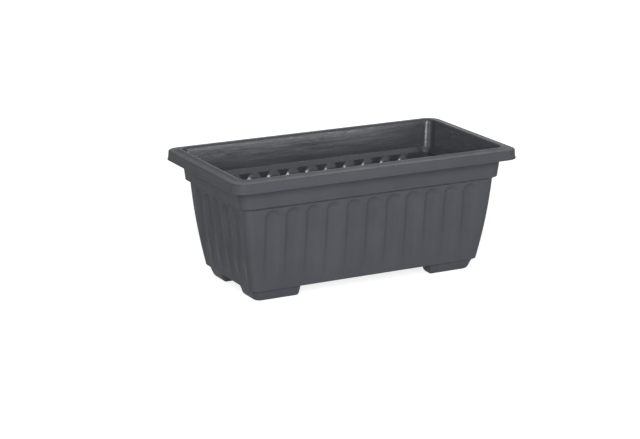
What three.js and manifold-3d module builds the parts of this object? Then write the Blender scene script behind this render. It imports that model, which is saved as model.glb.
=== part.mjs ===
// Window box planter: a thin-walled plastic trough with a down-turned rim, a collar, fluted
// walls and four hollow corner feet, and a removable plug in each drain hole of its floor.
//
// Millimetres, +Z up. X runs along the length, and the front wall faces -Y.
// The origin is on the ground, under the middle of the box.

import * as THREE from 'three';
import Module from 'manifold-3d';
import { mergeVertices } from 'three/addons/utils/BufferGeometryUtils.js';

const wasm = await Module();
wasm.setup();

// ---------------------------------------------------------------- driving dimensions

// Overall, over the rim's skirt
const length = 340;
const depth = 185;
const height = 140;
const wall = 1.8;

// Rim: its top falls outward from the mouth, and its skirt hangs clear of the collar
const rimWidth = 14.2;
const rimFall = 2;
const skirtHeight = 10.2;
const skirtLean = 1.3;
const rimRound = 1.2;
const rimLip = 0.6;
const rimCrest = 0.4;
const mouthRound = 2.5;
const rimCornerRadius = 16;

// Collar: the plain band between the rim and the step
const collarHeight = 33;
const collarLean = 3.1;
const collarCornerRadius = 11.5;

// Step, and the fluted body under it
const stepDepth = 4.6;
const stepDrop = 2.4;
const endTaper = 12.4;
const sideTaper = 11;
const bodyBelly = 1.4;
const bodyCornerRadius = 8.6;
const bodyEdgeRound = 1.8;

// Feet, and how far they hold the floor off the ground
const footHeight = 12.5;
const footStep = 2.6;
const footDraft = 4.4;
const footInnerDraft = 1;
const footLength = 56;
const footWidth = 37.5;
const footOuterRadius = 8;
const footInnerRadius = 24;
const footEndRadius = 3;
const footRound = 3.3;

// Flutes: grooves with a domed top and parallel edges, which grow shallower down the wall.
// The power is how squarely a groove's section turns up from its floor into its sides.
const flutePitchLong = 23.7;
const flutePitchShort = 22.5;
const fluteWidth = 17;
const fluteDepth = 2.5;
const flutePower = 4;
const fluteTopGap = 2.4;
const fluteRunOutHeight = 6;
const fluteCornerMargin = 16;
const fluteCutterReach = 6;
const fluteLeastSpread = 0.1;
const fluteBackGrowth = 0.6;

// Drain holes and their plugs
const drainHoleDiameter = 12;
const drainHoleCount = 4;
const drainHolePitch = 52;
const plugClearance = 0.3;
const plugHeadDiameter = 19;
const plugHeadThickness = 1.6;
const plugKnobDiameter = 7;
const plugKnobHeight = 5;
const plugReach = 2.4;
const plugChamfer = 1;

// Fineness of the round stretches
const cornerSegments = 7;
const bodyBands = 6;
const archSegments = 6;
const fluteBands = 2;
const fluteShares = [0.6, 0.85, 1.05];
const plugSegments = 24;

// ---------------------------------------------------------------- derived places

const floorUnderside = footHeight;
const floorTop = floorUnderside + wall;
const skirtTop = height - rimFall;
const skirtBottom = skirtTop - skirtHeight;
const stepTop = height - collarHeight;
const bodyTop = stepTop - stepDrop;
const collarTopSetback = rimWidth - wall;
const collarBottomSetback = collarTopSetback + collarLean;
const bodyTopSetback = collarBottomSetback + stepDepth;
const fluteArchCentre = bodyTop - fluteTopGap - fluteWidth / 2;
const fluteRunOut = floorUnderside + fluteRunOutHeight;
const leastRadius = wall / 2;

// Setback of a fluted wall's outer face from the rim's outermost edge, at height z. The
// taper is how far that wall draws in between the step and the floor.
function bodySetback(z, taper) {
  const down = (bodyTop - z) / (bodyTop - floorUnderside);
  return bodyTopSetback + taper * down - 4 * bodyBelly * down * (1 - down);
}

// How far the middle of a rounded edge lies in from the edge's two faces
function cutBack(radius) {
  return radius * (1 - Math.SQRT1_2);
}

// ---------------------------------------------------------------- solids

// Points of a rounded rectangle at height z, anticlockwise seen from above. radiusAt gives
// the radius of the corner on each side of its middle.
function roundedLoop({ minX, maxX, minY, maxY, z, radiusAt }) {
  const points = [];
  const corners = [[1, 1], [-1, 1], [-1, -1], [1, -1]];
  corners.forEach(([sideX, sideY], quarter) => {
    const radius = radiusAt(sideX, sideY);
    const cornerX = sideX > 0 ? maxX : minX;
    const cornerY = sideY > 0 ? maxY : minY;
    for (let i = 0; i <= cornerSegments; i++) {
      const angle = (quarter + i / cornerSegments) * Math.PI / 2;
      points.push(new THREE.Vector3(
        cornerX - sideX * radius + radius * Math.cos(angle),
        cornerY - sideY * radius + radius * Math.sin(angle),
        z,
      ));
    }
  });
  return points;
}

// A loop of the box's plan, drawn in by a setback from the rim's outermost edge. A setback
// for the long sides is given where it differs from that of the ends.
function planLoop({ setback, sideSetback = setback, z, radius }) {
  const maxX = length / 2 - setback;
  const maxY = depth / 2 - sideSetback;
  return roundedLoop({ minX: -maxX, maxX, minY: -maxY, maxY, z, radiusAt: () => radius });
}

// A closed solid through loops of equally many points, stacked along their own normal
function loft(loops) {
  const count = loops[0].length;
  const positions = loops.flat().flatMap((point) => point.toArray());
  const index = [];
  for (let level = 0; level + 1 < loops.length; level++) {
    for (let i = 0; i < count; i++) {
      const next = (i + 1) % count;
      const low = level * count;
      const high = low + count;
      index.push(low + i, low + next, high + next, low + i, high + next, high + i);
    }
  }
  const last = (loops.length - 1) * count;
  for (let i = 1; i + 1 < count; i++) {
    index.push(0, i + 1, i, last, last + i, last + i + 1);
  }
  const geometry = new THREE.BufferGeometry();
  geometry.setAttribute('position', new THREE.Float32BufferAttribute(positions, 3));
  geometry.setIndex(index);
  return solidOf(geometry);
}

// A solid from a closed geometry
function solidOf(geometry) {
  const bare = geometry.clone();
  bare.deleteAttribute('normal');
  bare.deleteAttribute('uv');
  const merged = mergeVertices(bare);
  return new wasm.Manifold(new wasm.Mesh({
    numProp: 3,
    vertProperties: new Float32Array(merged.attributes.position.array),
    triVerts: new Uint32Array(merged.index.array),
  }));
}

// A geometry from a solid
function geometryOf(solid) {
  const mesh = solid.getMesh();
  const geometry = new THREE.BufferGeometry();
  geometry.setAttribute('position', new THREE.BufferAttribute(mesh.vertProperties, 3));
  geometry.setIndex(new THREE.BufferAttribute(mesh.triVerts, 1));
  geometry.computeVertexNormals();
  return geometry;
}

// An upright cylinder as a solid
function cylinderAt(x, y, low, high, diameter) {
  const geometry = new THREE.CylinderGeometry(diameter / 2, diameter / 2, high - low, plugSegments);
  geometry.rotateX(Math.PI / 2);
  geometry.translate(x, y, (low + high) / 2);
  return solidOf(geometry);
}

// ---------------------------------------------------------------- box: outer form

// The body's stations, from the floor's edge up to the step. With a thickness, they are
// those of the wall's inner face.
function bodyStations(thickness) {
  const radius = Math.max(bodyCornerRadius - thickness, leastRadius);
  const low = floorUnderside + thickness;
  const start = low + bodyEdgeRound;
  const station = (z, drawnIn = 0) => ({
    setback: bodySetback(z, endTaper) + thickness + drawnIn,
    sideSetback: bodySetback(z, sideTaper) + thickness + drawnIn,
    z,
    radius,
  });
  const middle = cutBack(bodyEdgeRound);
  const stations = [station(low, bodyEdgeRound), station(low + middle, middle), station(start)];
  for (let band = 1; band <= bodyBands; band++) {
    stations.push(station(start + (bodyTop - start) * band / bodyBands));
  }
  return stations;
}

// The skirt's outer face leans out from the rim's rounded edge to its lower lip. Behind the
// skirt, the form runs up under the rim and down the collar.
function outerForm() {
  const roofInset = wall + skirtLean;
  const inset = (z, setback, radius) => ({ setback, z, radius: radius - setback });
  const stations = [
    ...bodyStations(0),
    { setback: collarBottomSetback, z: stepTop, radius: collarCornerRadius },
    { setback: collarTopSetback, z: height - wall, radius: collarCornerRadius },
    inset(skirtTop - wall, roofInset, rimCornerRadius),
    inset(skirtBottom, wall, rimCornerRadius),
    inset(skirtBottom, rimLip, rimCornerRadius),
    inset(skirtBottom + rimLip, 0, rimCornerRadius),
    inset(skirtTop - rimRound, skirtLean, rimCornerRadius),
    inset(skirtTop - cutBack(rimRound), skirtLean + cutBack(rimRound), rimCornerRadius),
    inset(skirtTop, skirtLean + rimRound, rimCornerRadius),
    { setback: rimWidth - mouthRound - rimCrest, z: height, radius: collarCornerRadius },
  ];
  return loft(stations.map(planLoop));
}

// The space for the soil, open at the mouth. A sloping ledge backs the step, and the mouth's
// edge is rounded over into the rim's top.
function soilForm() {
  const radius = collarCornerRadius - wall;
  const mouth = (z, flare) => ({ setback: rimWidth - flare, z, radius: radius + flare });
  const stations = [
    ...bodyStations(wall),
    { setback: collarBottomSetback + wall, z: stepTop + wall, radius },
    mouth(height - mouthRound, 0),
    mouth(height - cutBack(mouthRound), cutBack(mouthRound)),
    mouth(height, mouthRound),
    mouth(height + wall, mouthRound),
  ];
  return loft(stations.map(planLoop));
}

// ---------------------------------------------------------------- box: feet

// One foot as a drafted block with a rounded lower edge. Its corner towards the middle of
// the box is well rounded. With a thickness, it is the well inside the foot, which opens
// into the soil space.
function footForm(sideX, sideY, thickness) {
  const outerX = length / 2 - bodyTopSetback - endTaper - footStep;
  const outerY = depth / 2 - bodyTopSetback - sideTaper - footStep;
  const level = (z, drawnIn) => {
    const down = 1 - z / floorUnderside;
    const inset = thickness + drawnIn;
    const reach = ([inner, outer], side) => {
      const ends = [inner + footInnerDraft * down + inset, outer - footDraft * down - inset];
      return ends.map((end) => side * end).sort((a, b) => a - b);
    };
    const [minX, maxX] = reach([outerX - footLength, outerX], sideX);
    const [minY, maxY] = reach([outerY - footWidth, outerY], sideY);
    const radiusAt = (cornerX, cornerY) => {
      const outwardX = cornerX === sideX;
      const outwardY = cornerY === sideY;
      let radius = footEndRadius;
      if (outwardX && outwardY) radius = footOuterRadius;
      if (!outwardX && !outwardY) radius = footInnerRadius;
      return Math.max(radius - inset, leastRadius);
    };
    return roundedLoop({ minX, maxX, minY, maxY, z, radiusAt });
  };
  // The foot ends half-way up the floor, and its well opens above the floor
  const top = floorUnderside + wall / 2 + thickness;
  const middle = cutBack(footRound);
  return loft([
    level(thickness, footRound),
    level(thickness + middle, middle),
    level(thickness + footRound, 0),
    level(top, 0),
  ]);
}

// ---------------------------------------------------------------- box: flutes

// Setback of a flute's floor at height z. The floor is a straight line from its depth under
// the arch, and comes out through the wall's face at the run-out.
function fluteFloorSetback(z, taper) {
  const top = bodySetback(fluteArchCentre, taper) + fluteDepth;
  const low = bodySetback(fluteRunOut, taper);
  return top + (low - top) * (fluteArchCentre - z) / (fluteArchCentre - fluteRunOut);
}

// A cutter for one flute, in the middle of a wall whose outermost edge is the plane y = 0. A
// share is a place across its section: 0 in its middle and 1 at its edge on the wall. With a
// thickness, it leaves the flute's back on the wall's inner face.
function fluteCutter(taper, thickness) {
  const halfWidth = fluteWidth / 2 + thickness * fluteBackGrowth;
  const loopAt = (share, reach) => {
    const half = share * halfWidth;
    const place = (x, z) => {
      const floor = fluteFloorSetback(z, taper);
      const spread = Math.max(floor - bodySetback(z, taper), fluteLeastSpread);
      return new THREE.Vector3(x, floor + thickness - spread * share ** flutePower - reach, z);
    };
    const heights = Array.from({ length: fluteBands }, (_, band) => (
      floorUnderside + (fluteArchCentre - floorUnderside) * band / fluteBands
    ));
    const arch = Array.from({ length: archSegments + 1 }, (_, i) => {
      const angle = Math.PI * i / archSegments;
      return place(half * Math.cos(angle), fluteArchCentre + half * Math.sin(angle));
    });
    const right = heights.map((z) => place(half, z));
    const left = heights.map((z) => place(-half, z)).reverse();
    return [...right, ...arch, ...left];
  };
  const edge = fluteShares.at(-1);
  return loft([...fluteShares.map((share) => loopAt(share, 0)), loopAt(edge, fluteCutterReach)]);
}

// Every flute of the box
function flutes(thickness) {
  const side = { run: length, pitch: flutePitchLong, reach: depth / 2, taper: sideTaper };
  const end = { run: depth, pitch: flutePitchShort, reach: length / 2, taper: endTaper };
  const walls = [
    { ...side, turn: 0 },
    { ...side, turn: Math.PI },
    { ...end, turn: Math.PI / 2 },
    { ...end, turn: -Math.PI / 2 },
  ];
  const placed = [];
  for (const { run, pitch, reach, taper, turn } of walls) {
    const cutter = fluteCutter(taper, thickness);
    const room = run / 2 - bodyTopSetback - fluteCornerMargin - fluteWidth / 2;
    const sideCount = Math.floor(room / pitch);
    for (let i = -sideCount; i <= sideCount; i++) {
      const place = new THREE.Matrix4().makeRotationZ(turn);
      place.multiply(new THREE.Matrix4().makeTranslation(i * pitch, -reach, 0));
      placed.push(cutter.transform(place.elements));
    }
  }
  return wasm.Manifold.union(placed);
}

// ---------------------------------------------------------------- box and plugs

const drainHoles = Array.from({ length: drainHoleCount }, (_, i) => (
  { x: (i - (drainHoleCount - 1) / 2) * drainHolePitch, y: 0 }
));

function planterBox() {
  let outside = outerForm().subtract(flutes(0));
  let inside = soilForm().subtract(flutes(wall));
  for (const sideX of [-1, 1]) {
    for (const sideY of [-1, 1]) {
      outside = outside.add(footForm(sideX, sideY, 0));
      inside = inside.add(footForm(sideX, sideY, wall));
    }
  }
  let box = outside.subtract(inside);
  for (const { x, y } of drainHoles) {
    box = box.subtract(cylinderAt(x, y, floorUnderside - wall, floorTop + wall, drainHoleDiameter));
  }
  return geometryOf(box);
}

// A plug's stem fills the hole with a clearance, its head covers the hole from inside, and
// its knob is what a finger and thumb pull it out by
function drainPlug() {
  const stem = drainHoleDiameter / 2 - plugClearance;
  const seat = floorTop + plugClearance;
  const tip = floorUnderside - plugReach;
  const headTop = seat + plugHeadThickness;
  const knobTop = headTop + plugKnobHeight;
  const head = plugHeadDiameter / 2;
  const knob = plugKnobDiameter / 2;
  const profile = [
    [0, tip],
    [stem - plugChamfer, tip],
    [stem, tip + plugChamfer],
    [stem, seat],
    [head, seat],
    [head, headTop - plugChamfer / 2],
    [head - plugChamfer / 2, headTop],
    [knob, headTop],
    [knob, knobTop - plugChamfer / 2],
    [knob - plugChamfer / 2, knobTop],
    [0, knobTop],
  ].map(([radius, z]) => new THREE.Vector2(radius, z));
  const geometry = new THREE.LatheGeometry(profile, plugSegments);
  geometry.rotateX(Math.PI / 2);
  return geometry;
}

// ---------------------------------------------------------------- assembly

const planter = new THREE.Group();

const box = new THREE.Mesh(
  planterBox(),
  new THREE.MeshStandardMaterial({ color: 0x55575a, roughness: 0.55, metalness: 0 }),
);
box.name = 'planter_box';
planter.add(box);

drainHoles.forEach(({ x, y }, i) => {
  const plug = new THREE.Mesh(
    drainPlug(),
    new THREE.MeshStandardMaterial({ color: 0x2b2c2e, roughness: 0.7, metalness: 0 }),
  );
  plug.name = `drain_plug_${i + 1}`;
  plug.position.set(x, y, 0);
  planter.add(plug);
});

export default planter;
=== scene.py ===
"""Window box planter: one thin-walled moulding and four lift-out drain plugs, in a pale studio.

Metres, +Z up. X runs along the length, and the front wall faces -Y. The origin is on the
ground, under the middle of the box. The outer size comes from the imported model's frame.
"""

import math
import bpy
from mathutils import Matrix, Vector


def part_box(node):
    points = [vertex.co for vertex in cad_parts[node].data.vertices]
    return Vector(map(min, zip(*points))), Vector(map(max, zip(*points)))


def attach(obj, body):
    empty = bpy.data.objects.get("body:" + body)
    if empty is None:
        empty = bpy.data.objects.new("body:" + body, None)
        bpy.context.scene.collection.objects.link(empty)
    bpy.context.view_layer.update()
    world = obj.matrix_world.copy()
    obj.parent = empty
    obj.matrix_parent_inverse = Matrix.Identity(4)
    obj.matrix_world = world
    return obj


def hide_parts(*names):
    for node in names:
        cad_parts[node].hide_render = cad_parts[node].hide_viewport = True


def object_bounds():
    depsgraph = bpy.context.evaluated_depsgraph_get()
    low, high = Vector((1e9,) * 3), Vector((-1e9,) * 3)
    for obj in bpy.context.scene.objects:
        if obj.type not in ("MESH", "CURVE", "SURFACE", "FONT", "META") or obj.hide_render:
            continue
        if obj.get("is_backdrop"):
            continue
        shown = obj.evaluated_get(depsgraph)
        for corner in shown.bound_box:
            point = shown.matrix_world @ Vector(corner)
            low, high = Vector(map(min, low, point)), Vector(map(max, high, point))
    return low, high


bl_info = {
    "name": "Window Box Planter",
    "version": (1, 0, 0),
    "blender": (4, 5, 0),
    "location": "View3D > Sidebar > Planter",
    "description": "Moulds a fluted window box planter, fits its drain plugs and lights it",
    "category": "Add Mesh",
}

import bpy
import numpy as np
from bpy.props import FloatProperty, FloatVectorProperty, IntProperty, PointerProperty
from mathutils import Matrix, Vector

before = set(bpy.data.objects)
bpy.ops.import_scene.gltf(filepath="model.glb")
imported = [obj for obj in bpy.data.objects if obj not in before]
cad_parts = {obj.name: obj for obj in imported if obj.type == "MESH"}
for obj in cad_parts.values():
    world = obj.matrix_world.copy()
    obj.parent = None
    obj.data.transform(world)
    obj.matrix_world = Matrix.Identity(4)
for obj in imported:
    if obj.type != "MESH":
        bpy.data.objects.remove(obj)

BOX_NODE = "planter_box"
PLUG_NODES = sorted(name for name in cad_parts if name.startswith("drain_plug"))
BOX_LOW, BOX_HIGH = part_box(BOX_NODE)

# Fineness of the meshes
COLUMN_STEP = 0.0010      # between the columns that cross a flute
EDGE_COLUMNS = 11         # between the outermost flute and a corner
CORNER_COLUMNS = 12
BODY_STEP = 0.003         # between the body's rings
ARCH_STEP = 0.0008        # between the rings that cross the flutes' arches
FILLET_STEPS = 5
FOOT_COLUMNS = 10
TURN_STEPS = 72
FLUTE_BACK = 0.6          # how much wider a flute's back is than its face, in walls
KNOB_RIBS = 12
ROUNDING_SHARE = 0.45     # the most of a side that the rounding at one of its ends takes up
BOX_SHARP = 38            # degrees over which an edge of the box is shown sharp
PLUG_SHARP = 50

# Radii of the moulding's small roundings
STEP_ROUND = 0.0008       # in the corner under the step
STEP_EDGE = 0.0009        # along the step's outer edge
RIM_ROOT = 0.001          # where the rim springs from the collar, and inside its outer edge
SKIRT_INSIDE = 0.0004     # along the skirt's lower edge, inside
LIP_ROUND = 0.0006
LIP_BLEND = 0.0008        # from the lip into the skirt
SAG_ROUND = 0.02          # in the hollow along the rim's top
CREST_ROUND = 0.0006      # where the rim's top meets the mouth's edge
INNER_ROUND = 0.0012      # along the step, inside
SAG_INSET = 0.25          # how far the hollow's corners draw in, as a share of its setback

# The plugs' small measures
AXIS_RING = 0.0004        # radius of the smallest ring, round the axis
STEM_CHAMFER = 0.001
SEAT_ROUND = 0.0002       # where the stem meets the head

# The plastics: how far the clouds and the dust change the colour
OUTSIDE_CLOUD = 0.06
INSIDE_CLOUD = 0.08
DUST_DARK = 0.8
DUST_LIGHT = 1.35

# The studio
SENSOR_WIDTH = 36         # millimetres
CLIP_NEAR = 0.05
CLIP_FAR = 100
FLOOR_REACH = 20          # from the middle to the floor's edges
FLOOR_GAP = 0.0001        # between the feet and the floor
FLOOR_DARK = (0.60, 0.60, 0.60)
FLOOR_LIGHT = (0.62, 0.62, 0.62)
LAMP_DISTANCE = 2.2

# The lamps: name, azimuth and elevation in degrees, width in metres and power in watts
LAMPS = (
    ("key", -30, 22, 1.0, 38.0),
    ("low", 25, 8, 0.6, 10.0),
    ("edge", -77, 12, 0.4, 1.5),
    ("rear", 148, 33, 1.0, 12.0),
)


# ---------------------------------------------------------------- properties


def size(name, description, default):
    """A length that a user would change."""
    return FloatProperty(name=name, description=description, default=default, min=0,
                         precision=4, unit="LENGTH")


def tint(name, description, default):
    """A colour that a user would change."""
    return FloatVectorProperty(name=name, description=description, default=default,
                               size=3, min=0, max=1, subtype="COLOR")


class PLANTER_PG_form(bpy.types.PropertyGroup):
    """Sizes of the moulding. Its length, depth and height come from the frame."""

    wall: size("Wall", "Thickness of the moulding everywhere", 0.0018)
    rim_width: size("Rim Width", "From the skirt's lip in to the mouth", 0.0142)
    rim_fall: size("Rim Fall", "How far the rim's top falls outward", 0.002)
    rim_round: size("Rim Round", "Radius along the rim's outer edge", 0.0012)
    rim_corner: size("Rim Corner", "Radius of the rim's corners in plan", 0.016)
    rim_sag: size("Rim Sag", "Hollow along the rim's top", 0.00025)
    mouth_round: size("Mouth Round", "Radius along the mouth's edge", 0.0025)
    skirt_height: size("Skirt Height", "Height of the down-turned skirt", 0.0102)
    skirt_lean: size("Skirt Lean", "How far the skirt leans out", 0.0013)
    skirt_lip: size("Skirt Lip", "Height of the lip along the skirt's edge", 0.0011)
    collar_height: size("Collar Height", "From the step up to the rim's top", 0.033)
    collar_lean: size("Collar Lean", "How far the collar leans out", 0.0031)
    collar_corner: size("Collar Corner", "Radius of the collar's corners", 0.0115)
    step_depth: size("Step Depth", "From the collar in to the fluted body", 0.0046)
    step_drop: size("Step Drop", "How far the step slopes down", 0.0024)
    end_taper: size("End Taper", "How far the ends draw in to the floor", 0.0124)
    side_taper: size("Side Taper", "How far the long walls draw in", 0.011)
    belly: size("Belly", "Bulge of the walls at half their height", 0.0014)
    body_corner: size("Body Corner", "Radius of the body's corners", 0.0086)
    body_round: size("Body Round", "Radius along the body's lower edge", 0.0018)
    foot_height: size("Foot Height", "From the ground up to the floor", 0.0125)
    foot_step: size("Foot Step", "From the body's edge in to a foot", 0.0026)
    foot_draft: size("Foot Draft", "How far a foot's outer sides lean", 0.0044)
    foot_inner_draft: size("Foot Inner Draft", "How far its inner sides lean", 0.001)
    foot_length: size("Foot Length", "Along the long wall", 0.056)
    foot_width: size("Foot Width", "Along the end wall", 0.0375)
    foot_outer_radius: size("Foot Outer Radius", "At the box's corner", 0.008)
    foot_inner_radius: size("Foot Inner Radius", "Towards the middle", 0.024)
    foot_end_radius: size("Foot End Radius", "At its other two corners", 0.003)
    foot_round: size("Foot Round", "Radius along a foot's lower edge", 0.0033)
    flute_pitch_long: size("Long Pitch", "Between flutes of a long wall", 0.0237)
    flute_pitch_short: size("Short Pitch", "Between flutes of an end", 0.0225)
    flutes_long: IntProperty(name="Long Flutes", description="Flutes of a long wall",
                             default=11, min=1)
    flutes_short: IntProperty(name="Short Flutes", description="Flutes of an end",
                              default=5, min=1)
    flute_width: size("Flute Width", "Across a flute's arch", 0.017)
    flute_depth: size("Flute Depth", "Depth of a flute under its arch", 0.0025)
    flute_power: FloatProperty(name="Flute Power", default=4, min=2,
                               description="How squarely a flute's section turns up")
    flute_gap: size("Flute Gap", "From the step down to the arches", 0.0024)
    flute_run_out: size("Flute Run-out", "Plain height under the flutes", 0.006)
    flute_soft: size("Flute Softness", "Rounding along a flute's edge", 0.0005)
    drain_diameter: size("Drain Diameter", "Bore of each drain hole", 0.012)


class PLANTER_PG_plug(bpy.types.PropertyGroup):
    """Shape of a drain plug. Its reach and diameter come from the frame."""

    clearance: size("Clearance", "Between the stem and its hole", 0.0003)
    head_thickness: size("Head Thickness", "Of the disc over the hole", 0.0016)
    knob_diameter: size("Knob Diameter", "Of the knob that it is pulled by", 0.007)
    knob_height: size("Knob Height", "Of the knob over the head", 0.005)
    edge_round: size("Edge Round", "Radius along its edges", 0.0005)
    rib_depth: size("Rib Depth", "Of the knob's finger ribs", 0.0003)


class PLANTER_PG_finish(bpy.types.PropertyGroup):
    """Colours and gloss of the plastics."""

    outside: tint("Outside", "Anthracite of the outer faces", (0.086, 0.0905, 0.1025))
    # The inner faces' colour is the outside's anthracite darkened: painted shade of the box's
    # interior.
    inside: tint("Inside", "Anthracite of the inner faces", (0.056, 0.059, 0.067))
    plug: tint("Plug", "Black of the drain plugs", (0.028, 0.029, 0.031))
    outside_roughness: FloatProperty(
        name="Outside Roughness", description="Satin of the outer faces", default=0.45,
        min=0, max=1, subtype="FACTOR")
    outside_sheen: FloatProperty(
        name="Outside Sheen", description="Mirror light of the outer faces", default=0.05,
        min=0, max=1, subtype="FACTOR")
    inside_roughness: FloatProperty(
        name="Inside Roughness", description="Gloss of the inner faces", default=0.22,
        min=0, max=1, subtype="FACTOR")


class PLANTER_PG_studio(bpy.types.PropertyGroup):
    """Camera and light."""

    azimuth: FloatProperty(name="Azimuth", description="0 faces the front wall",
                           default=math.radians(-27.602), subtype="ANGLE")
    elevation: FloatProperty(name="Elevation", description="Above the horizon",
                             default=math.radians(15.620), subtype="ANGLE")
    distance: size("Distance", "From the camera to its target", 2.3478)
    lens: FloatProperty(name="Lens", description="Focal length on a 36 mm sensor",
                        default=112.794, unit="CAMERA")
    target: FloatVectorProperty(name="Target", description="What the camera looks at",
                                default=(0.05331, 0.15286, 0.01448), subtype="XYZ",
                                unit="LENGTH")
    ambient: FloatProperty(name="Ambient", description="Strength of the room's light",
                           default=0.04, min=0)
    glow: FloatProperty(name="Floor Glow", description="Light the near floor shows the camera",
                        default=0.8, min=0)
    glow_near: size("Glow Near", "Where the floor's glow starts to grow", 0.22)
    glow_far: size("Glow Far", "Where the floor is white by itself", 0.75)


# ---------------------------------------------------------------- mesh helpers


def smoothed_path(corners):
    """A path of (setback, height, plan radius) with each corner rounded.

    A corner is (setback, height, plan radius, fillet). A fillet of 0 leaves it sharp.
    """
    points = [np.array(corner[:3], dtype=float) for corner in corners]
    path = [points[0]]
    for before, here, after, corner in zip(points, points[1:], points[2:], corners[1:]):
        back, ahead = before - here, after - here
        back_run, ahead_run = np.linalg.norm(back[:2]), np.linalg.norm(ahead[:2])
        bend = math.acos(np.clip(back[:2] @ ahead[:2] / (back_run * ahead_run), -1, 1))
        reach = corner[3] / math.tan(bend / 2) if corner[3] else 0
        if not reach:
            path.append(here)
            continue
        start = here + back * min(reach / back_run, ROUNDING_SHARE)
        end = here + ahead * min(reach / ahead_run, ROUNDING_SHARE)
        for step in range(FILLET_STEPS + 1):
            share = step / FILLET_STEPS
            path.append((1 - share) ** 2 * start + 2 * share * (1 - share) * here
                        + share * share * end)
    path.append(points[-1])
    return path


def mesh_object(name, vertices, faces, material_of=None):
    """A new object from arrays of vertices and a list of faces."""
    mesh = bpy.data.meshes.new(name)
    mesh.from_pydata([tuple(point) for point in vertices], [], faces)
    if material_of is not None:
        mesh.polygons.foreach_set("material_index", np.array(material_of, dtype=np.int32))
    mesh.update()
    piece = bpy.data.objects.new(name, mesh)
    bpy.context.scene.collection.objects.link(piece)
    return piece


def ring_faces(rings, count):
    """Quads between rings of equally many points, and a cap on the first and last."""
    faces = []
    for level in range(rings - 1):
        low, high = level * count, (level + 1) * count
        for here in range(count):
            after = (here + 1) % count
            faces.append((low + here, low + after, high + after, high + here))
    faces.append(tuple(range(count - 1, -1, -1)))
    faces.append(tuple(range((rings - 1) * count, rings * count)))
    return faces


def smooth(piece, sharp_angle):
    """Smooth shading that keeps the edges sharper than an angle."""
    piece.data.shade_smooth()
    piece.data.set_sharp_from_angle(angle=sharp_angle)


def carve(piece, tool, operation):
    """Joins a solid to the piece, or cuts it away, and removes the tool."""
    step = piece.modifiers.new("carve", "BOOLEAN")
    step.operation = operation
    step.solver = "MANIFOLD"
    step.object = tool
    done = piece.evaluated_get(bpy.context.evaluated_depsgraph_get())
    carved = bpy.data.meshes.new_from_object(done)
    piece.modifiers.clear()
    old = piece.data
    piece.data = carved
    bpy.data.meshes.remove(old)
    spent = tool.data
    bpy.data.objects.remove(tool)
    bpy.data.meshes.remove(spent)


def joined(name, tools, materials, index):
    """One object from several, for a single cut or join, with a material of the piece."""
    vertices, faces = [], []
    for tool in tools:
        first = len(vertices)
        vertices += [tuple(vertex.co) for vertex in tool.data.vertices]
        faces += [tuple(first + corner for corner in face.vertices)
                  for face in tool.data.polygons]
        spent = tool.data
        bpy.data.objects.remove(tool)
        bpy.data.meshes.remove(spent)
    whole = mesh_object(name, vertices, faces, [index] * len(faces))
    for material in materials:
        whole.data.materials.append(material)
    return whole


# ---------------------------------------------------------------- moulding


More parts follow.
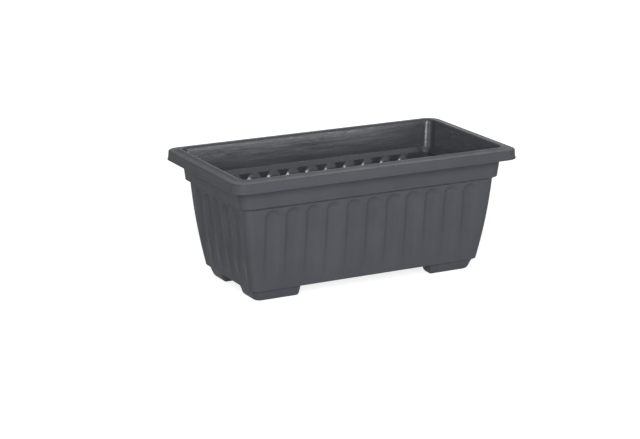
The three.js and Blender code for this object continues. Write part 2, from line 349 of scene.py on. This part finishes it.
class Moulding:
    """The box's surfaces, worked out from the form's sizes."""

    def __init__(self, form):
        self.form = form
        self.half_length = (BOX_HIGH[0] - BOX_LOW[0]) / 2
        self.half_depth = (BOX_HIGH[1] - BOX_LOW[1]) / 2
        self.height = BOX_HIGH[2]
        self.floor_under = form.foot_height
        self.floor_top = form.foot_height + form.wall
        self.skirt_top = self.height - form.rim_fall
        self.skirt_bottom = self.skirt_top - form.skirt_height
        self.step_top = self.height - form.collar_height
        self.body_top = self.step_top - form.step_drop
        self.collar_top_setback = form.rim_width - form.wall
        self.collar_low_setback = self.collar_top_setback + form.collar_lean
        self.body_top_setback = self.collar_low_setback + form.step_depth
        self.arch_centre = self.body_top - form.flute_gap - form.flute_width / 2
        self.run_out = form.foot_height + form.flute_run_out

    def down(self, z):
        """0 at the step and 1 at the floor."""
        return np.clip((self.body_top - z) / (self.body_top - self.floor_under), 0, 1)

    def body_setback(self, z, taper):
        """Setback of a fluted wall's outer face from the skirt's lip."""
        down = self.down(z)
        return self.body_top_setback + taper * down - 4 * self.form.belly * down * (1 - down)

    def flute_depth(self, along, z, taper, pitch, count, thickness):
        """How far a flute draws the wall in, at a place along the wall and a height.

        With a thickness, it is how far the flute's back stands out inside.
        """
        form = self.form
        index = np.clip(np.round(along / pitch), -(count // 2), count // 2)
        across = np.abs(along - index * pitch)
        over = np.maximum(z - self.arch_centre, 0)
        radius = np.hypot(across, over)
        top = self.body_setback(self.arch_centre, taper) + form.flute_depth
        low = self.body_setback(self.run_out, taper)
        fall = (self.arch_centre - z) / (self.arch_centre - self.run_out)
        floor = max(float(top + (low - top) * fall - self.body_setback(z, taper)), 0)
        half = form.flute_width / 2 + thickness * FLUTE_BACK
        depth = floor * (1 - np.minimum(radius / half, 2) ** form.flute_power)
        soft = min(form.flute_soft, floor / 2)
        return (depth + np.sqrt(depth ** 2 + soft ** 2)) / 2

    def ring(self, setback, z, radius, fluted=False, thickness=0.0):
        """Points round the box at a height, anticlockwise from above."""
        form = self.form
        shift = (form.side_taper - form.end_taper) * float(self.down(z))
        half_x = self.half_length - setback
        half_y = self.half_depth - setback - shift
        long_wall = (half_x, half_y, form.flute_pitch_long, form.flutes_long, form.side_taper)
        end_wall = (half_y, half_x, form.flute_pitch_short, form.flutes_short, form.end_taper)
        points = []
        for quarter, wall in enumerate((long_wall, end_wall, long_wall, end_wall)):
            run, reach, pitch, count, taper = wall
            outward = np.array([math.sin(quarter * math.pi / 2),
                                -math.cos(quarter * math.pi / 2)])
            onward = np.array([-outward[1], outward[0]])
            # The close columns end a third of a flute past the outermost flute's middle
            fixed = pitch * (count // 2) + form.flute_width / 3
            columns = round(2 * fixed / COLUMN_STEP)
            middle = np.linspace(-fixed, fixed, columns + 1)
            edge = np.linspace(fixed, run - radius, EDGE_COLUMNS + 1)[1:]
            along = np.concatenate([-edge[::-1], middle, edge])
            drawn = np.zeros_like(along)
            if fluted:
                drawn = self.flute_depth(along, z, taper, pitch, count, thickness)
            points.append(np.outer(reach - drawn, outward) + np.outer(along, onward))
            turn = np.arange(1, CORNER_COLUMNS) / CORNER_COLUMNS * math.pi / 2
            centre = outward * (reach - radius) + onward * (run - radius)
            points.append(centre + radius * (np.outer(np.cos(turn), outward)
                                             + np.outer(np.sin(turn), onward)))
        flat = np.concatenate(points)
        return np.column_stack([flat, np.full(len(flat), z)])

    def body_heights(self, low, high):
        """Heights of the body's rings, closer together across the flutes' arches."""
        arch_low = self.arch_centre - self.form.flute_width / 8
        plain = round((arch_low - low) / BODY_STEP)
        fine = round((high - arch_low) / ARCH_STEP)
        return np.concatenate([np.linspace(low, arch_low, plain + 1)[:-1],
                               np.linspace(arch_low, high, fine + 1)])

    def body_rings(self, thickness):
        """The fluted walls from the floor's edge up to the step."""
        form = self.form
        radius = form.body_corner - thickness
        low = self.floor_under + thickness
        lowest = low + form.body_round
        setback = float(self.body_setback(lowest, form.end_taper)) + thickness
        foot = smoothed_path([(setback + 2 * form.body_round, low, radius, 0),
                              (setback, low, radius, form.body_round),
                              (setback, lowest + form.body_round, radius, 0)])[:-1]
        rings = [self.ring(*place) for place in foot]
        start = foot[-1][1]
        for z in self.body_heights(start, self.body_top)[1:-1]:
            setback = float(self.body_setback(z, form.end_taper)) + thickness
            rings.append(self.ring(setback, z, radius, True, thickness))
        return rings

    def rim_corner(self, setback):
        """Radius of the rim's corners at a setback from the skirt's lip."""
        return self.form.rim_corner - setback

    def shell(self):
        """The rings of the whole skin, and the number of those that face outward."""
        form = self.form
        wall = form.wall
        collar = form.collar_corner
        body = form.body_corner
        inner = collar - wall
        lip = self.skirt_bottom + form.skirt_lip
        lean = form.skirt_lean
        crest = form.rim_width - form.mouth_round
        sag_at = (lean + form.rim_width) / 2
        sag_z = (self.skirt_top + self.height) / 2 - form.rim_sag
        sag_corner = (form.rim_corner + collar) / 2 - sag_at * SAG_INSET
        outer = smoothed_path([
            (self.body_top_setback, self.body_top - wall, body, 0),
            (self.body_top_setback, self.body_top, body, STEP_ROUND),
            (self.collar_low_setback, self.step_top, collar, STEP_EDGE),
            (self.collar_top_setback, self.height - wall, collar, RIM_ROOT),
            (wall + lean, self.skirt_top - wall, self.rim_corner(wall + lean), RIM_ROOT),
            (wall, self.skirt_bottom, self.rim_corner(wall), SKIRT_INSIDE),
            (0, self.skirt_bottom, self.rim_corner(0), LIP_ROUND),
            (0, lip, self.rim_corner(0), LIP_ROUND),
            (lean / 2, lip + form.skirt_lip, self.rim_corner(lean / 2), LIP_BLEND),
            (lean, self.skirt_top, self.rim_corner(lean), form.rim_round),
            (sag_at, sag_z, sag_corner, SAG_ROUND),
            (crest, self.height, collar, CREST_ROUND),
            (form.rim_width, self.height, collar - form.mouth_round, form.mouth_round),
            (self.collar_low_setback + wall, self.step_top + wall, inner, 0),
        ])[1:-1]
        within = smoothed_path([
            (form.rim_width, self.height - form.mouth_round, inner, 0),
            (self.collar_low_setback + wall, self.step_top + wall, inner, INNER_ROUND),
            (self.body_top_setback + wall, self.body_top, body - wall, INNER_ROUND),
            (self.body_top_setback + wall, self.body_top - wall, body - wall, 0),
        ])[1:-1]
        outside = self.body_rings(0) + [self.ring(*place) for place in outer]
        inside = [self.ring(*place) for place in within]
        inside += self.body_rings(wall)[::-1]
        return outside + inside, len(outside)

    def foot(self, side_x, side_y, thickness):
        """A foot as a drafted block. With a thickness, the well inside it."""
        form = self.form
        outer_x = self.half_length - self.body_top_setback - form.end_taper - form.foot_step
        outer_y = self.half_depth - self.body_top_setback - form.side_taper - form.foot_step
        inner_x = outer_x - form.foot_length
        inner_y = outer_y - form.foot_width
        top = self.floor_under + form.wall / 2 + thickness
        rings = []
        turns = np.linspace(0, math.pi / 2, FILLET_STEPS + 1)
        levels = [(thickness + form.foot_round * (1 - math.sin(turn)),
                   form.foot_round * (1 - math.cos(turn)))
                  for turn in turns[::-1]]
        for z, drawn in levels + [(top, 0)]:
            down = 1 - z / self.floor_under
            inset = thickness + drawn
            ends_x = (inner_x + form.foot_inner_draft * down + inset,
                      outer_x - form.foot_draft * down - inset)
            ends_y = (inner_y + form.foot_inner_draft * down + inset,
                      outer_y - form.foot_draft * down - inset)
            rings.append(self.foot_ring(side_x, side_y, ends_x, ends_y, z, inset))
        count = len(rings[0])
        name = f"foot_{side_x}_{side_y}_{thickness > 0}"
        return mesh_object(name, np.concatenate(rings), ring_faces(len(rings), count))

    def foot_ring(self, side_x, side_y, ends_x, ends_y, z, inset):
        """Points round a foot, whose corner towards the middle is well rounded."""
        form = self.form
        points = []
        for quarter, (turn_x, turn_y) in enumerate(((1, 1), (-1, 1), (-1, -1), (1, -1))):
            out_x, out_y = turn_x == side_x, turn_y == side_y
            radius = form.foot_end_radius
            if out_x and out_y:
                radius = form.foot_outer_radius
            if not out_x and not out_y:
                radius = form.foot_inner_radius
            radius = max(radius - inset, form.wall / 2)
            corner_x = side_x * ends_x[int(out_x)]
            corner_y = side_y * ends_y[int(out_y)]
            for step in range(FOOT_COLUMNS + 1):
                angle = (quarter + step / FOOT_COLUMNS) * math.pi / 2
                points.append((corner_x - turn_x * radius + radius * math.cos(angle),
                               corner_y - turn_y * radius + radius * math.sin(angle), z))
        return np.array(points)


def upright_cylinder(name, centre, low, high, diameter):
    """A closed upright cylinder."""
    angles = np.linspace(0, 2 * math.pi, TURN_STEPS, endpoint=False)
    rings = [np.column_stack([centre[0] + diameter / 2 * np.cos(angles),
                              centre[1] + diameter / 2 * np.sin(angles),
                              np.full(TURN_STEPS, z)]) for z in (low, high)]
    return mesh_object(name, np.concatenate(rings), ring_faces(2, TURN_STEPS))


def plug_centre(node):
    """Where a drain plug stands, from its node's box."""
    low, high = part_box(node)
    return ((low[0] + high[0]) / 2, (low[1] + high[1]) / 2)


# ---------------------------------------------------------------- plastics


class Nodes:
    """Short calls for a material's node tree."""

    def __init__(self, name):
        self.material = bpy.data.materials.new(name)
        self.material.use_nodes = True
        self.tree = self.material.node_tree
        self.shader = self.tree.nodes["Principled BSDF"]

    def add(self, kind, label, **values):
        """A node with its label and the values of its input sockets."""
        node = self.tree.nodes.new(kind)
        node.label = label
        for key, value in values.items():
            node.inputs[key.replace("_", " ")].default_value = value
        return node

    def link(self, source, target):
        self.tree.links.new(source, target)

    def place(self, scale, label):
        """Object coordinates, stretched by a scale along each axis."""
        where = self.add("ShaderNodeTexCoord", "Place on the object")
        stretch = self.add("ShaderNodeMapping", label, Scale=scale)
        self.link(where.outputs["Object"], stretch.inputs["Vector"])
        return stretch.outputs["Vector"]

    def noise(self, place, label, scale, detail=3.0, roughness=0.5):
        """Noise whose scale is in lumps to the metre."""
        node = self.add("ShaderNodeTexNoise", label, Scale=scale, Detail=detail,
                        Roughness=roughness)
        self.link(place, node.inputs["Vector"])
        return node.outputs["Fac"]

    def spread(self, value, label, low, high, from_low=0.3, from_high=0.7):
        """A value mapped to a new range."""
        node = self.add("ShaderNodeMapRange", label)
        node.inputs["From Min"].default_value = from_low
        node.inputs["From Max"].default_value = from_high
        node.inputs["To Min"].default_value = low
        node.inputs["To Max"].default_value = high
        self.link(value, node.inputs["Value"])
        return node.outputs["Result"]

    def shades(self, value, label, dark, light):
        """A colour between two shades."""
        node = self.add("ShaderNodeMix", label)
        node.data_type = "RGBA"
        node.inputs["A"].default_value = (*dark, 1)
        node.inputs["B"].default_value = (*light, 1)
        self.link(value, node.inputs["Factor"])
        return node.outputs["Result"]

    def bump(self, height, label, strength, distance, under=None):
        """A bump, laid over another where one is given."""
        node = self.add("ShaderNodeBump", label, Strength=strength, Distance=distance)
        self.link(height, node.inputs["Height"])
        if under is not None:
            self.link(under, node.inputs["Normal"])
        return node.outputs["Normal"]


def scaled(colour, factor):
    """A colour made lighter or darker."""
    return tuple(channel * factor for channel in colour)


def outside_plastic(finish):
    """Satin anthracite: cloudy by a few parts in a hundred, with a fine spark grain."""
    nodes = Nodes("planter_outside_satin")
    plain = nodes.place((1, 1, 1), "Real size")
    cloud = nodes.spread(nodes.noise(plain, "Clouds of pigment", scale=28, detail=4),
                         "Cloud depth", low=0, high=1)
    colour = nodes.shades(cloud, "Anthracite", scaled(finish.outside, 1 - OUTSIDE_CLOUD),
                          scaled(finish.outside, 1 + OUTSIDE_CLOUD))
    nodes.link(colour, nodes.shader.inputs["Base Color"])
    patch = nodes.noise(plain, "Patches of polish", scale=60)
    gloss = nodes.spread(patch, "Satin range", low=finish.outside_roughness - 0.04,
                         high=finish.outside_roughness + 0.05)
    nodes.link(gloss, nodes.shader.inputs["Roughness"])
    nodes.shader.inputs["Specular IOR Level"].default_value = finish.outside_sheen
    grain = nodes.noise(plain, "Spark grain", scale=2600, detail=2, roughness=0.6)
    flow = nodes.noise(nodes.place((1, 1, 0.12), "Down the wall"), "Flow waves", scale=90,
                       detail=2)
    waves = nodes.bump(flow, "Flow relief", strength=0.12, distance=0.0006)
    relief = nodes.bump(grain, "Grain relief", strength=0.25, distance=0.00008, under=waves)
    nodes.link(relief, nodes.shader.inputs["Normal"])
    return nodes.material


def inside_plastic_painted_shade(finish):
    """The same plastic from the mould's polished core, with drag lines along the walls.

    Its colour is the outside's anthracite darkened: painted shade of the box's interior.
    """
    nodes = Nodes("planter_inside_gloss_painted_shade")
    plain = nodes.place((1, 1, 1), "Real size")
    cloud = nodes.spread(nodes.noise(plain, "Clouds of pigment", scale=30, detail=4),
                         "Cloud depth", low=0, high=1)
    # Darker than the outside's anthracite: painted shade of the box's interior
    colour = nodes.shades(cloud, "Anthracite", scaled(finish.inside, 1 - INSIDE_CLOUD),
                          scaled(finish.inside, 1 + INSIDE_CLOUD))
    nodes.link(colour, nodes.shader.inputs["Base Color"])
    drag = nodes.noise(nodes.place((0.08, 0.08, 1), "Along the wall"), "Drag lines", scale=240)
    gloss = nodes.spread(drag, "Gloss range", low=finish.inside_roughness - 0.07,
                         high=finish.inside_roughness + 0.09)
    nodes.link(gloss, nodes.shader.inputs["Roughness"])
    lines = nodes.bump(drag, "Drag relief", strength=0.3, distance=0.0004)
    ripple = nodes.noise(plain, "Core ripples", scale=120, detail=2)
    relief = nodes.bump(ripple, "Ripple relief", strength=0.2, distance=0.0005, under=lines)
    nodes.link(relief, nodes.shader.inputs["Normal"])
    return nodes.material


def plug_plastic(finish):
    """Soft black plastic with a dusting of grey and turning marks."""
    nodes = Nodes("plug_soft_black")
    plain = nodes.place((1, 1, 1), "Real size")
    dust = nodes.spread(nodes.noise(plain, "Dust", scale=420, detail=5, roughness=0.65),
                        "Dust depth", low=0, high=1)
    colour = nodes.shades(dust, "Black", scaled(finish.plug, DUST_DARK),
                          scaled(finish.plug, DUST_LIGHT))
    nodes.link(colour, nodes.shader.inputs["Base Color"])
    gloss = nodes.spread(nodes.noise(plain, "Polish", scale=300), "Matt range", low=0.55,
                         high=0.72)
    nodes.link(gloss, nodes.shader.inputs["Roughness"])
    grain = nodes.noise(plain, "Grain", scale=2200, roughness=0.6)
    relief = nodes.bump(grain, "Grain relief", strength=0.35, distance=0.0001)
    nodes.link(relief, nodes.shader.inputs["Normal"])
    return nodes.material


# ---------------------------------------------------------------- operators


class PLANTER_OT_moulding(bpy.types.Operator):
    """Mould the box: rim, collar, fluted walls, floor, feet and drain holes in one skin"""

    bl_idname = "planter.moulding"
    bl_label = "Mould the Box"

    def execute(self, context):
        form = context.scene.planter_form
        moulding = Moulding(form)
        rings, outward = moulding.shell()
        count = len(rings[0])
        faces = ring_faces(len(rings), count)
        inner_from = (outward - 1) * count
        material_of = [int(face >= inner_from) for face in range(len(faces))]
        underside = -2    # the last two faces are the floor's underside and its top
        material_of[underside] = 0
        piece = mesh_object("planter_box_moulded", np.concatenate(rings), faces, material_of)
        finish = context.scene.planter_finish
        plastics = [outside_plastic(finish), inside_plastic_painted_shade(finish)]
        for plastic in plastics:
            piece.data.materials.append(plastic)

        sides = [(x, y) for x in (-1, 1) for y in (-1, 1)]
        feet = joined("feet", [moulding.foot(x, y, 0.0) for x, y in sides], plastics, 0)
        carve(piece, feet, "UNION")
        hollows = [moulding.foot(x, y, form.wall) for x, y in sides]
        for node in PLUG_NODES:
            hollows.append(upright_cylinder(
                "drain", plug_centre(node), moulding.floor_under - form.wall,
                moulding.floor_top + form.wall, form.drain_diameter))
        carve(piece, joined("hollows", hollows, plastics, 1), "DIFFERENCE")
        smooth(piece, math.radians(BOX_SHARP))
        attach(piece, "box")
        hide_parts(BOX_NODE)
        return {"FINISHED"}


class PLANTER_OT_plugs(bpy.types.Operator):
    """Fit a drain plug with a ribbed knob in each drain hole"""

    bl_idname = "planter.plugs"
    bl_label = "Fit the Drain Plugs"

    def execute(self, context):
        shape = context.scene.planter_plug
        bore = context.scene.planter_form.drain_diameter
        material = plug_plastic(context.scene.planter_finish)
        for node in PLUG_NODES:
            self.turn_plug(node, shape, bore, material)
        return {"FINISHED"}

    def turn_plug(self, node, shape, bore, material):
        """One plug, turned about its own axis, with ribs round its knob."""
        low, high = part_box(node)
        centre = plug_centre(node)
        stem = bore / 2 - shape.clearance
        head = (high[0] - low[0]) / 2
        knob = shape.knob_diameter / 2
        head_top = high[2] - shape.knob_height
        seat = head_top - shape.head_thickness
        edge = shape.edge_round
        path = smoothed_path([
            (AXIS_RING, low[2], 0, 0),
            (stem - STEM_CHAMFER, low[2], 0, edge),
            (stem, low[2] + STEM_CHAMFER, 0, edge),
            (stem, seat, 0, SEAT_ROUND),
            (head, seat, 0, edge / 2),
            (head, head_top, 0, edge),
            (knob, head_top, 0, edge),
            (knob, high[2], 0, 2 * edge),
            (AXIS_RING, high[2], 0, 0),
        ])
        angles = np.linspace(0, 2 * math.pi, TURN_STEPS, endpoint=False)
        rings = []
        for radius, z, _ in path:
            ribbed = np.full(TURN_STEPS, radius)
            if z > head_top + edge and radius > knob / 2:
                ribbed -= shape.rib_depth * (1 - np.cos(KNOB_RIBS * angles)) / 2
            rings.append(np.column_stack([centre[0] + ribbed * np.cos(angles),
                                          centre[1] + ribbed * np.sin(angles),
                                          np.full(TURN_STEPS, z)]))
        piece = mesh_object(f"{node}_turned", np.concatenate(rings),
                            ring_faces(len(rings), TURN_STEPS))
        piece.data.materials.append(material)
        smooth(piece, math.radians(PLUG_SHARP))
        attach(piece, "plug_" + node.rsplit("_", 1)[1])
        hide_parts(node)


def shown_ray(tree):
    """1 for the rays that show the white room: from the camera, by a mirror or a glass."""
    path = tree.nodes.new("ShaderNodeLightPath")
    mirrored = tree.nodes.new("ShaderNodeMath")
    mirrored.operation = "MAXIMUM"
    shown = tree.nodes.new("ShaderNodeMath")
    shown.operation = "MAXIMUM"
    tree.links.new(path.outputs["Is Glossy Ray"], mirrored.inputs[0])
    tree.links.new(path.outputs["Is Transmission Ray"], mirrored.inputs[1])
    tree.links.new(path.outputs["Is Camera Ray"], shown.inputs[0])
    tree.links.new(mirrored.outputs["Value"], shown.inputs[1])
    return shown.outputs["Value"]


def bearing(azimuth, elevation):
    """The direction at an azimuth and elevation. Azimuth 0 is in front, 90 on the right."""
    level = math.cos(elevation)
    return Vector((math.sin(azimuth) * level, -math.cos(azimuth) * level,
                   math.sin(elevation)))


class PLANTER_OT_studio(bpy.types.Operator):
    """Set the camera, the lamps, the white room and the floor"""

    bl_idname = "planter.studio"
    bl_label = "Set the Studio"

    def execute(self, context):
        studio = context.scene.planter_studio
        self.aim_camera(context, studio)
        for name, azimuth, elevation, width, power in LAMPS:
            self.add_lamp(name, math.radians(azimuth), math.radians(elevation), width, power)
        self.light_room(context, studio)
        self.lay_floor(studio)
        context.scene.view_settings.view_transform = "Standard"
        return {"FINISHED"}

    def aim_camera(self, context, studio):
        """The camera looks at a target from its azimuth and elevation."""
        back = bearing(studio.azimuth, studio.elevation)
        data = bpy.data.cameras.new("camera")
        data.lens = studio.lens
        data.sensor_width = SENSOR_WIDTH
        data.clip_start = CLIP_NEAR
        data.clip_end = CLIP_FAR
        camera = bpy.data.objects.new("camera", data)
        camera.matrix_world = (Matrix.Translation(Vector(studio.target) + back * studio.distance)
                               @ back.to_track_quat("Z", "Y").to_matrix().to_4x4())
        context.scene.collection.objects.link(camera)
        context.scene.camera = camera

    def add_lamp(self, name, azimuth, elevation, width, power):
        """A square soft box that faces the middle of the planter."""
        away = bearing(azimuth, elevation)
        middle = Vector((0, 0, BOX_HIGH[2] / 2))
        data = bpy.data.lights.new(name, "AREA")
        data.shape = "SQUARE"
        data.size = width
        data.energy = power
        lamp = bpy.data.objects.new(name, data)
        lamp.matrix_world = (Matrix.Translation(middle + away * LAMP_DISTANCE)
                             @ away.to_track_quat("Z", "Y").to_matrix().to_4x4())
        bpy.context.scene.collection.objects.link(lamp)

    def light_room(self, context, studio):
        """A dim even room that the camera sees as white."""
        world = bpy.data.worlds.new("room")
        world.use_nodes = True
        tree = world.node_tree
        output = tree.nodes["World Output"]
        light = tree.nodes["Background"]
        light.inputs["Color"].default_value = (1, 1, 1, 1)
        light.inputs["Strength"].default_value = studio.ambient
        seen = tree.nodes.new("ShaderNodeBackground")
        seen.inputs["Color"].default_value = (1, 1, 1, 1)
        seen.inputs["Strength"].default_value = 1
        choose = tree.nodes.new("ShaderNodeMixShader")
        tree.links.new(shown_ray(tree), choose.inputs["Fac"])
        tree.links.new(light.outputs["Background"], choose.inputs[1])
        tree.links.new(seen.outputs["Background"], choose.inputs[2])
        tree.links.new(choose.outputs["Shader"], output.inputs["Surface"])
        context.scene.world = world

    def lay_floor(self, studio):
        """A pale floor that glows softly for the camera, and is clear from below."""
        edges = [(-1, -1), (1, -1), (1, 1), (-1, 1)]
        points = [(x * FLOOR_REACH, y * FLOOR_REACH, -FLOOR_GAP) for x, y in edges]
        floor = mesh_object("floor", points, [(0, 1, 2, 3)])
        nodes = Nodes("floor_paper")
        tree = nodes.tree
        plain = nodes.place((1, 1, 1), "Real size")
        fibre = nodes.spread(nodes.noise(plain, "Paper", scale=300), "Paper shades", low=0,
                             high=1)
        colour = nodes.shades(fibre, "Pale paper", FLOOR_DARK, FLOOR_LIGHT)
        nodes.link(colour, nodes.shader.inputs["Base Color"])
        nodes.shader.inputs["Roughness"].default_value = 0.9
        nodes.shader.inputs["Specular IOR Level"].default_value = 0
        glow = tree.nodes.new("ShaderNodeEmission")
        reach = tree.nodes.new("ShaderNodeVectorMath")
        reach.operation = "LENGTH"
        nodes.link(plain, reach.inputs[0])
        nodes.link(nodes.spread(reach.outputs["Value"], "Glow by distance",
                                low=studio.glow, high=1, from_low=studio.glow_near,
                                from_high=studio.glow_far),
                   glow.inputs["Strength"])
        dark = tree.nodes.new("ShaderNodeEmission")
        dark.inputs["Strength"].default_value = 0
        choose = tree.nodes.new("ShaderNodeMixShader")
        together = tree.nodes.new("ShaderNodeAddShader")
        nodes.link(shown_ray(tree), choose.inputs["Fac"])
        nodes.link(dark.outputs["Emission"], choose.inputs[1])
        nodes.link(glow.outputs["Emission"], choose.inputs[2])
        nodes.link(nodes.shader.outputs["BSDF"], together.inputs[0])
        nodes.link(choose.outputs["Shader"], together.inputs[1])
        side = tree.nodes.new("ShaderNodeNewGeometry")
        clear = tree.nodes.new("ShaderNodeBsdfTransparent")
        sided = tree.nodes.new("ShaderNodeMixShader")
        nodes.link(side.outputs["Backfacing"], sided.inputs["Fac"])
        nodes.link(together.outputs["Shader"], sided.inputs[1])
        nodes.link(clear.outputs["BSDF"], sided.inputs[2])
        nodes.link(sided.outputs["Shader"], tree.nodes["Material Output"].inputs["Surface"])
        floor.data.materials.append(nodes.material)
        floor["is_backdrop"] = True


class PLANTER_PT_sidebar(bpy.types.Panel):
    """Lists the planter's steps and sizes"""

    bl_idname = "PLANTER_PT_sidebar"
    bl_label = "Window Box Planter"
    bl_space_type = "VIEW_3D"
    bl_region_type = "UI"
    bl_category = "Planter"

    def draw(self, context):
        layout = self.layout
        for operator in OPERATORS:
            layout.operator(operator.bl_idname)
        for key in GROUPS:
            group = getattr(context.scene, key)
            box = layout.box()
            for name in group.__annotations__:
                box.prop(group, name)


OPERATORS = (PLANTER_OT_moulding, PLANTER_OT_plugs, PLANTER_OT_studio)
GROUPS = {
    "planter_form": PLANTER_PG_form,
    "planter_plug": PLANTER_PG_plug,
    "planter_finish": PLANTER_PG_finish,
    "planter_studio": PLANTER_PG_studio,
}


def register():
    """Registers the classes and hangs the property groups on the scene."""
    for key, group in GROUPS.items():
        bpy.utils.register_class(group)
        setattr(bpy.types.Scene, key, PointerProperty(type=group))
    for operator in OPERATORS:
        bpy.utils.register_class(operator)
    bpy.utils.register_class(PLANTER_PT_sidebar)


def unregister():
    """Takes away what register() added."""
    bpy.utils.unregister_class(PLANTER_PT_sidebar)
    for operator in reversed(OPERATORS):
        bpy.utils.unregister_class(operator)
    for key, group in reversed(GROUPS.items()):
        delattr(bpy.types.Scene, key)
        bpy.utils.unregister_class(group)


def corners():
    """The shown object's lowest and highest corner, as plain lists."""
    return [[float(value) for value in corner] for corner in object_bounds()]


def main():
    """Builds the scene."""
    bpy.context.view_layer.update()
    register()
    bpy.ops.planter.moulding()
    bpy.ops.planter.plugs()
    bpy.ops.planter.studio()


if __name__ == "__main__":
    main()
